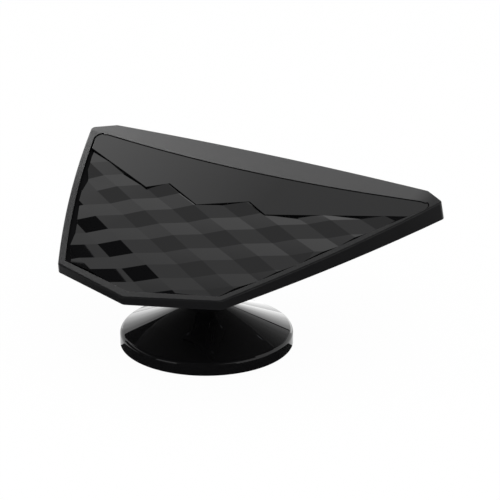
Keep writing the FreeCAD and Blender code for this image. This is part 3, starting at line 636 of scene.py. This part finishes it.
def background_rays(tree):
    """1 for rays that show the background: straight to the eye, by reflection or through glass."""
    path = add(tree, "ShaderNodeLightPath")
    seen = add(tree, "ShaderNodeMath", {0: path.outputs["Is Camera Ray"], 1: path.outputs["Is Glossy Ray"]},
               operation="MAXIMUM")
    return add(tree, "ShaderNodeMath", {0: seen.outputs["Value"], 1: path.outputs["Is Transmission Ray"]},
               operation="MAXIMUM").outputs["Value"]


def make_floor():
    """A white floor that looks as white as the background and shows only a trace of a shadow."""
    floor = quad("studio_floor", [(-FLOOR_HALF, -FLOOR_HALF, 0), (FLOOR_HALF, -FLOOR_HALF, 0),
                                  (FLOOR_HALF, FLOOR_HALF, 0), (-FLOOR_HALF, FLOOR_HALF, 0)])
    material = bpy.data.materials.new("white_floor")
    material.use_nodes = True
    tree = material.node_tree
    tree.nodes.clear()
    matt = add(tree, "ShaderNodeBsdfDiffuse", {"Color": linear("#f7f7f7")})
    glow = add(tree, "ShaderNodeEmission", {"Color": linear("#ffffff"), "Strength": 1.0})
    share = add(tree, "ShaderNodeMath", {0: background_rays(tree), 1: FLOOR_GLOW_SHARE},
                operation="MULTIPLY")
    blend = add(tree, "ShaderNodeMixShader", {0: share.outputs["Value"], 1: matt.outputs["BSDF"],
                                              2: glow.outputs["Emission"]})
    add(tree, "ShaderNodeOutputMaterial", {"Surface": blend.outputs["Shader"]})
    floor.data.materials.append(material)


def make_world():
    """Even light from all round; the eye and the reflections see plain white."""
    world = bpy.data.worlds.new("studio")
    bpy.context.scene.world = world
    world.use_nodes = True
    tree = world.node_tree
    tree.nodes.clear()
    lit = add(tree, "ShaderNodeBackground", {"Color": linear("#ffffff"), "Strength": WORLD_LIGHT})
    white = add(tree, "ShaderNodeBackground", {"Color": linear("#ffffff"), "Strength": 1.0})
    blend = add(tree, "ShaderNodeMixShader", {0: background_rays(tree), 1: lit.outputs["Background"],
                                              2: white.outputs["Background"]})
    add(tree, "ShaderNodeOutputWorld", {"Surface": blend.outputs["Shader"]})


def softbox(name, direction, distance, width, height, radiance):
    """A rectangular lamp as bright as that many whites, which faces the middle of the base's underside."""
    lamp = bpy.data.lights.new(name, "AREA")
    lamp.shape = "RECTANGLE"
    lamp.size, lamp.size_y = width, height
    lamp.energy = radiance * math.pi * width * height
    box = bpy.data.objects.new(name, lamp)
    bpy.context.scene.collection.objects.link(box)
    box.matrix_world = facing_back(Vector(), direction, distance)
    box.visible_camera = False


def card_finish(name, level):
    """Cloth or card that looks as bright as that share of white."""
    material = bpy.data.materials.new(name)
    material.use_nodes = True
    tree = material.node_tree
    tree.nodes.clear()
    glow = add(tree, "ShaderNodeEmission", {"Color": linear("#ffffff"), "Strength": level})
    add(tree, "ShaderNodeOutputMaterial", {"Surface": glow.outputs["Emission"]})
    return material


def shaded_card(name, axis, start, end, start_level, end_level):
    """Card lit from one side: its brightness changes evenly between two places along an axis."""
    material = card_finish(name, end_level)
    tree = material.node_tree
    coordinates = add(tree, "ShaderNodeTexCoord").outputs["Object"]
    place = add(tree, "ShaderNodeSeparateXYZ", {"Vector": coordinates}).outputs[axis]
    fade = add(tree, "ShaderNodeMapRange", {"Value": place, "From Min": start, "From Max": end,
                                            "To Min": start_level, "To Max": end_level})
    tree.links.new(fade.outputs["Result"], tree.nodes["Emission"].inputs["Strength"])
    return material


def flag(name, finish, corners):
    """A flag or card: only reflections show it, and it takes no light from the object."""
    sheet = quad(name, corners)
    sheet.data.materials.append(finish)
    for kind in ("camera", "diffuse", "shadow", "transmission", "volume_scatter"):
        setattr(sheet, "visible_" + kind, False)


def level_flag(name, finish, height, corners):
    """A level flag at a height, with its corners in metres to the right and to the back."""
    flag(name, finish, [(x, y, height) for x, y in corners])


def standing_flag(name, finish, direction, distance, width, height, foot=0.0):
    """A flag that faces the object from a direction and stands on the floor, or hangs higher."""
    middle = direction * distance + Vector((0, 0, foot))
    half = Vector((0, 0, 1)).cross(middle).normalized() * width / 2
    top = Vector((0, 0, height))
    flag(name, finish, [middle - half, middle + half, middle + half + top, middle - half + top])


BLACK_CLOTH = card_finish("black_cloth", 0.03)
GREY_CARD = card_finish("grey_card", 0.58)
PALE_CARD = shaded_card("pale_card", "X", -0.5, -0.2, 1.3, 1.9)
FADING_CARD = shaded_card("fading_card", "X", -1.05, -0.82, 1.3, 0.60)
NEAR_CARD = shaded_card("near_card", "Y", 0.925, 1.01, 0.50, 1.05)
FAR_CARD = shaded_card("far_card", "Y", 1.51, 1.67, 0.53, 0.77)
LAMP_CARD = card_finish("lamp_card", 7.5)
DIM_CARD = shaded_card("dim_card", "Y", 1.3, 3.0, 0.10, 0.65)
BRIGHT_CARD = shaded_card("bright_card", "Z", 0.0, 0.8, 3.2, 1.0)
SOFTER_CARD = shaded_card("softer_card", "Z", 0.0, 0.8, 2.55, 0.8)

# Heights of the flags and cards: over the panel, where a lower one hides a higher one, and on the floor
FLAG_HEIGHT = 1.2
CARD_OVERHEAD = 1.22
CARD_ABOVE = 1.23
CARD_ON_FLOOR = 0.2 * MM

make_floor()
make_world()
# Over the object, where its upper faces mirror them
level_flag("black_flag_left", BLACK_CLOTH, FLAG_HEIGHT,
           [(-1.05, 0.7055), (-0.70, 0.561), (-0.70, 0.45), (-1.05, 0.45)])
level_flag("black_flag_back", BLACK_CLOTH, FLAG_HEIGHT,
           [(-0.90, 1.0751), (-0.69, 0.9458), (-0.75, 0.9575), (-0.90, 0.9575)])
level_flag("grey_card_left", GREY_CARD, CARD_OVERHEAD,
           [(-1.05, 0.78), (-0.55, 0.78), (-0.55, 0.45), (-1.05, 0.45)])
level_flag("fading_card_back", FADING_CARD, CARD_OVERHEAD,
           [(-1.15, 1.40), (-0.45, 1.40), (-0.45, 0.93), (-1.15, 1.0)])
level_flag("near_card_left", NEAR_CARD, CARD_ABOVE,
           [(-1.32, 1.015), (-0.74, 0.957), (-0.74, 0.86), (-1.32, 0.86)])
level_flag("far_card_back", FAR_CARD, CARD_ABOVE,
           [(-1.35, 1.80), (-0.75, 1.80), (-0.75, 1.40), (-1.35, 1.40)])
level_flag("lamp_card_left", LAMP_CARD, CARD_ABOVE,
           [(-1.65, 1.44), (-1.22, 1.44), (-1.22, 1.03), (-1.45, 1.10)])
level_flag("black_flag_front", BLACK_CLOTH, FLAG_HEIGHT,
           [(-1.3, 0.934), (-1.11, 0.934), (-1.11, 0.86), (-1.3, 0.86)])
level_flag("dark_band_near", BLACK_CLOTH, FLAG_HEIGHT,
           [(-1.3, 0.835), (-0.55, 0.835), (-0.55, 0.725), (-1.3, 0.725)])
level_flag("dark_band_far", BLACK_CLOTH, FLAG_HEIGHT,
           [(-1.3, 1.40), (-0.40, 1.40), (-0.40, 1.31), (-1.3, 1.31)])
level_flag("dark_band_right", BLACK_CLOTH, FLAG_HEIGHT,
           [(-0.52, 0.90), (-0.35, 0.90), (-0.35, 0.45), (-0.52, 0.45)])
level_flag("black_flag_low", BLACK_CLOTH, FLAG_HEIGHT,
           [(-2.05, 1.80), (-1.10, 0.62), (-1.10, 0.40), (-3.2, 1.2)])
level_flag("dark_ceiling", BLACK_CLOTH, CARD_OVERHEAD,
           [(-2.0, 0.45), (2.0, 0.45), (2.0, -3.0), (-2.0, -3.0)])
level_flag("dim_card_back", DIM_CARD, CARD_OVERHEAD,
           [(-0.35, 0.7), (-0.60, 3.05), (1.2, 3.05), (0.8, 0.7)])
# On the floor before and behind the base
level_flag("floor_card", BLACK_CLOTH, CARD_ON_FLOOR,
           [(-0.427, -0.260), (0.433, 0.250), (1.04, -0.78), (0.18, -1.29)])
level_flag("floor_card_back", PALE_CARD, CARD_ON_FLOOR,
           [(-1.6, 0.08), (0.05, 0.08), (0.05, 2.0), (-1.6, 2.0)])
# Round the object: its lamp, the dark room on the viewer's side, and bright cards at the back
softbox("key_softbox", heading(150, 50), 2.2, 1.0, 1.0, 2.6)
standing_flag("dark_room", BLACK_CLOTH, heading(180 - VIEW_AZIMUTH, 0), 3.2, 5.0, 1.4)
standing_flag("dark_room_left", BLACK_CLOTH, heading(-112, 0), 3.2, 4.0, 1.4)
standing_flag("bright_card_left", SOFTER_CARD, heading(-46, 0), 2.0, 0.7, 0.82)
standing_flag("bright_card_right", BRIGHT_CARD, heading(-12, 0), 2.0, 1.0, 0.78)
standing_flag("seam_right", BLACK_CLOTH, heading(-12, 0), 1.98, 1.0, 0.07, 0.70)
make_camera()
bpy.context.scene.view_settings.view_transform = "Standard"
